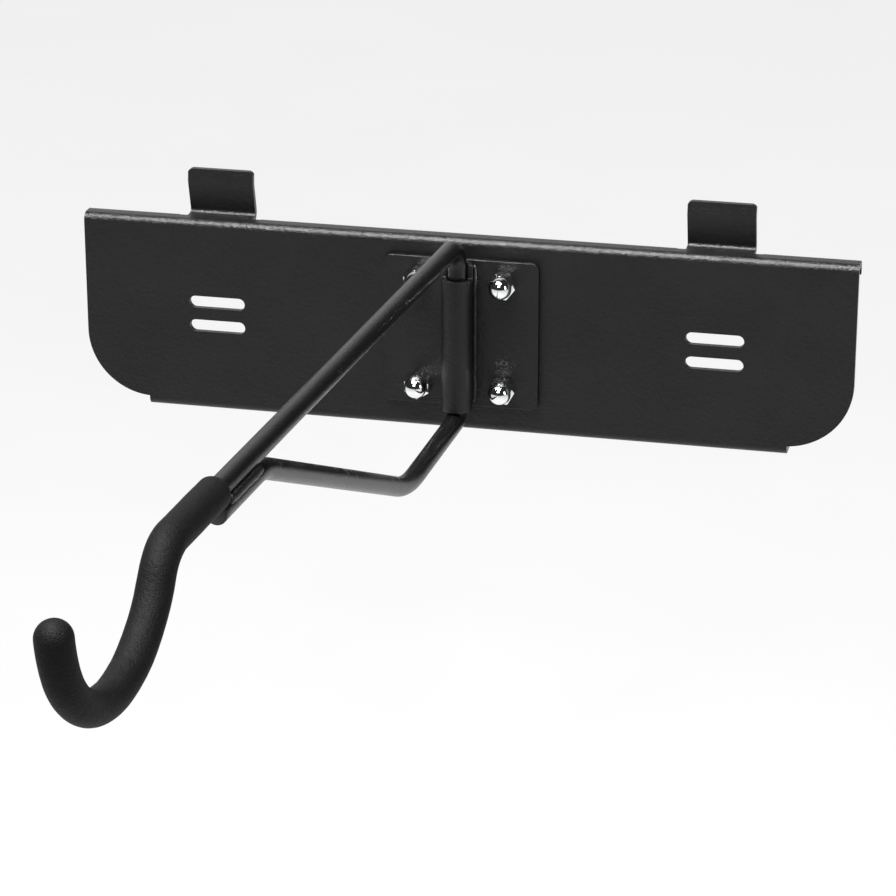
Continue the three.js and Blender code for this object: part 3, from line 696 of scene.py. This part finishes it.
def foam_sleeve(material):
    """A moulded foam tube pushed over the hook, with a rolled start, a mould line along its right
    side, short creases inside the hook bend and a round closed tip."""
    sides = 72
    start_forward = ARM_LENGTH - SLEEVE_ON_ARM
    start = (start_forward, arm_height(start_forward))
    outer_tip = HOOK_TIP + 1.7 * MM
    moves = [(None, SLEEVE_ON_ARM), *hook_moves(outer_tip)]
    outer = walk(start, -ARM_DROOP, moves, step=1.0, stride=0.9 * MM)
    inner = walk(start, -ARM_DROOP, [(None, SLEEVE_ON_ARM), *hook_moves(HOOK_TIP + 0.3 * MM)], step=3.0)
    length = [0.0]
    for (a, _), (b, _) in zip(outer, outer[1:]):
        length.append(length[-1] + (b - a).length)

    def relief(along, pull):
        """How far the skin stands out at a station: dents, the mould line, and creases where the
        bend pinches the inside of the hook."""
        def place(angle, spot):
            dents = 0.16 * MM * noise.noise(spot / (14 * MM)) + 0.05 * MM * noise.noise(spot / (4 * MM))
            off_line = (angle - math.radians(-28)) * SLEEVE_RADIUS
            line = 0.16 * MM * math.exp(-(off_line / (0.35 * MM)) ** 2)
            inside = max(0.0, math.sin(angle)) ** 3 * pull
            crease = -0.28 * MM * inside * max(0.0, math.sin(along / (2.9 * MM)) - 0.55) / 0.45
            return dents + line + crease
        return place

    rings = []
    lip = 1.5 * MM
    for i in range(1, 9):
        angle = i / 8 * math.pi / 2
        here = outer[0][0] + Vector((lip * (1 - math.cos(angle)) * 0.9, 0))
        thick = SLEEVE_RADIUS - lip + lip * math.sin(angle)
        rings.append(sleeve_ring(here, outer[0][1], thick, sides, lambda a, s: 0.0))
    for (point, heading), along in zip(outer, length):
        if along < lip * 1.2:
            continue
        past_start = min(1.0, max(0.0, (along - 100 * MM) / (12 * MM)))
        bend_share = past_start * min(1.0, max(0.0, (160 * MM - along) / (14 * MM)))
        rings.append(sleeve_ring(point, heading, SLEEVE_RADIUS, sides, relief(along, bend_share)))
    last, heading = outer[-1]
    onward = Vector((math.cos(heading), math.sin(heading)))
    for i in range(1, 15):
        angle = i / 15 * math.pi / 2
        here = last + onward * (SLEEVE_RADIUS * math.sin(angle))
        radius = SLEEVE_RADIUS * math.cos(angle)
        rings.append(sleeve_ring(here, heading, radius, sides, relief(length[-1], 0.0)))
    tip = swung(last + onward * SLEEVE_RADIUS * 0.998)
    bore = [
        sleeve_ring(point, heading, SLEEVE_BORE, sides, lambda a, s: 0.0) for point, heading in inner
    ]
    shape = bmesh.new()
    outside = [[shape.verts.new(spot) for spot in ring] for ring in rings]
    inside = [[shape.verts.new(spot) for spot in ring] for ring in bore]
    for rows in (outside, inside):
        for first, second in zip(rows, rows[1:]):
            for i in range(sides):
                j = (i + 1) % sides
                shape.faces.new((first[i], first[j], second[j], second[i]))
    for i in range(sides):
        j = (i + 1) % sides
        shape.faces.new((outside[0][i], outside[0][j], inside[0][j], inside[0][i]))
    pole = shape.verts.new(tip)
    for i in range(sides):
        shape.faces.new((outside[-1][i], outside[-1][(i + 1) % sides], pole))
    shape.faces.new(inside[-1])
    bmesh.ops.recalc_face_normals(shape, faces=shape.faces)
    mesh = bpy.data.meshes.new("sleeve")
    shape.to_mesh(mesh)
    shape.free()
    made = new_object("moulded_foam_sleeve", mesh, material)
    smooth(mesh, 60)
    return made


def arm_line(from_forward, to_forward, drop, aside):
    """A straight line beside the arm, level with it, drop below its axis and aside to the right."""
    across = Vector((math.cos(REST_SWING), math.sin(REST_SWING), 0))
    count = 12
    points = []
    for i in range(count + 1):
        forward = from_forward + (to_forward - from_forward) * i / count
        points.append(swung((forward, arm_height(forward) - drop)) + across * aside)
    return points


# ---- the rack ------------------------------------------------------------------------------------

plate_coat = powder_coat("black_powder_coat", 1.7 * MM, 0.4 * MM, 0.26, 0.34, "070708", "0b0b0c")
rod_coat = powder_coat("rod_powder_coat", 1.2 * MM, 0.2 * MM, 0.22, 0.30, "080809", "0c0c0d")
weld_coat = powder_coat("weld_powder_coat", 0.7 * MM, 0.25 * MM, 0.2, 0.28, "0a0a0b", "101011")
sawn = bare_steel_cut()
chrome = chrome_plate()
zinc = zinc_plate()
foam = foam_rubber()

rods = rod_tree()
welds = weld_tree()
sets = fastener_tree()

WALL = "wall_plate"
ARM = "swing_arm"

plate = sheet_copy(
    "back_plate",
    "folded_back_plate",
    0.35 * MM,
    (-SLOT_X, -BOLT_X, BOLT_X, SLOT_X),
    BOLT_ROWS + SLOT_ROWS,
    plate_coat,
)
hinge = sheet_copy("hinge_plate", "bolted_hinge_plate", 0.35 * MM, (-BOLT_X, BOLT_X), BOLT_ROWS, plate_coat)
tube = hinge_tube(plate_coat)
nuts = fasteners(acorn_nut_shape(), NUT_TURNS, "acorn_nuts", chrome, sets)
bolts = fasteners(carriage_bolt_shape(), {}, "carriage_bolts", zinc, sets)

weld_z = (TUBE_LOW + 2 * MM, TUBE_HIGH - 2 * MM)
tube_welds = {}
for side, word, seed in ((-1, "left", 1.3), (1, "right", 4.7)):
    line = [
        Vector((side * 7.6 * MM, HINGE_FACE_Y - 1.0 * MM, weld_z[0] + (weld_z[1] - weld_z[0]) * i / 20))
        for i in range(21)
    ]
    tube_welds[word] = bead("tube_weld_bead_" + word, line, 1.7 * MM, seed, weld_coat, welds)

rod = hook_rod(rod_coat, sawn, rods)
lap_end = strut_stations()[-1][0].x
strut_welds = {}
for side, word, seed in ((-1, "left", 8.1), (1, "right", 2.9)):
    line = arm_line(lap_end - STRUT_LAP + 4 * MM, lap_end - 5 * MM, LAP_SPACING / 2, side * 3.9 * MM)
    strut_welds[word] = bead("strut_weld_bead_" + word, line, 2.9 * MM, seed, weld_coat, welds)
sleeve = foam_sleeve(foam)

for piece, covered in (
    (plate, ["back_plate"]), (hinge, ["hinge_plate"]), (tube, ["hinge_tube"]),
    (nuts, ["acorn_nut_" + place for place in NUT_TURNS]),
    (bolts, ["carriage_bolt_" + place for place in NUT_TURNS]),
    (tube_welds["left"], ["tube_weld_left"]), (tube_welds["right"], ["tube_weld_right"]),
):
    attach(piece, WALL)
    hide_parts(*covered)
for piece, covered in (
    (rod, ["hook_rod"]), (sleeve, ["foam_sleeve"]),
    (strut_welds["left"], ["strut_weld_left"]), (strut_welds["right"], ["strut_weld_right"]),
):
    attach(piece, ARM)
    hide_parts(*covered)


# ---- floor, light and camera ---------------------------------------------------------------------

def pale_floor():
    """A plain pale studio floor, well below the rack, that glows softly and evenly."""
    material, tree, shader, place = new_material("pale_floor")
    mottle = grain(tree, place, 0.3, detail=3.0)
    colour = ramp(tree, mottle, [(0.3, linear("707070")), (0.7, linear("787878"))])
    set_inputs(
        tree, shader, Base_Color=colour, Roughness=0.9, Emission_Color=linear("ffffff"), Emission_Strength=0.8
    )
    mesh = bpy.data.meshes.new("floor")
    half = 12
    level = -1.1
    corners = [(-half, -half, level), (half, -half, level), (half, half, level), (-half, half, level)]
    mesh.from_pydata(corners, [], [(0, 1, 2, 3)])
    floor = new_object("floor", mesh, material)


def softbox(name, place, aim, size, power):
    light = bpy.data.lights.new(name, "AREA")
    light.shape = "RECTANGLE"
    light.size, light.size_y = size
    light.energy = power
    made = bpy.data.objects.new(name, light)
    bpy.context.scene.collection.objects.link(made)
    made.location = place
    made.rotation_euler = (Vector(aim) - Vector(place)).to_track_quat("-Z", "Y").to_euler()


def studio_world():
    """A dim studio with a bright wall behind the rack to the left."""
    world = bpy.data.worlds.new("studio")
    bpy.context.scene.world = world
    world.use_nodes = True
    tree = world.node_tree
    direction = node(tree, "ShaderNodeTexCoord").outputs["Generated"]
    axes = node(tree, "ShaderNodeSeparateXYZ", Vector=direction).outputs
    back = node(tree, "ShaderNodeMapRange", Value=axes["Y"], From_Min=0.1, From_Max=0.6).outputs[0]
    left = node(tree, "ShaderNodeMapRange", Value=axes["X"], From_Min=0.25, From_Max=-0.1).outputs[0]
    wall = node(tree, "ShaderNodeMath", {"operation": "MULTIPLY"}, i0=back, i1=left).outputs[0]
    colour = ramp(tree, wall, [(0.0, linear("303030")), (1.0, linear("f0f0f0"))])
    tree.links.new(colour, tree.nodes["Background"].inputs["Color"])
    tree.nodes["Background"].inputs["Strength"].default_value = 1.0


def camera():
    lens = bpy.data.cameras.new("camera")
    lens.lens = 137.32
    lens.sensor_width = 36
    made = bpy.data.objects.new("camera", lens)
    bpy.context.scene.collection.objects.link(made)
    place = Vector((0.36711, -1.6408, 0.52983))
    aim = Vector((-0.00743, -0.0128, -0.10925))
    made.location = place
    made.rotation_euler = (aim - place).to_track_quat("-Z", "Y").to_euler()
    bpy.context.scene.camera = made


pale_floor()
studio_world()
softbox("overhead", (-0.25, -0.8, 1.7), (0, -0.15, -0.05), (1.4, 0.8), 170)
softbox("front", (-0.2, -2.2, 1.3), (0, -0.1, -0.05), (1.1, 0.5), 16)
softbox("right", (1.9, -0.9, 0.5), (0, -0.15, -0.05), (0.5, 1.0), 9)
camera()
bpy.context.scene.view_settings.view_transform = "Standard"
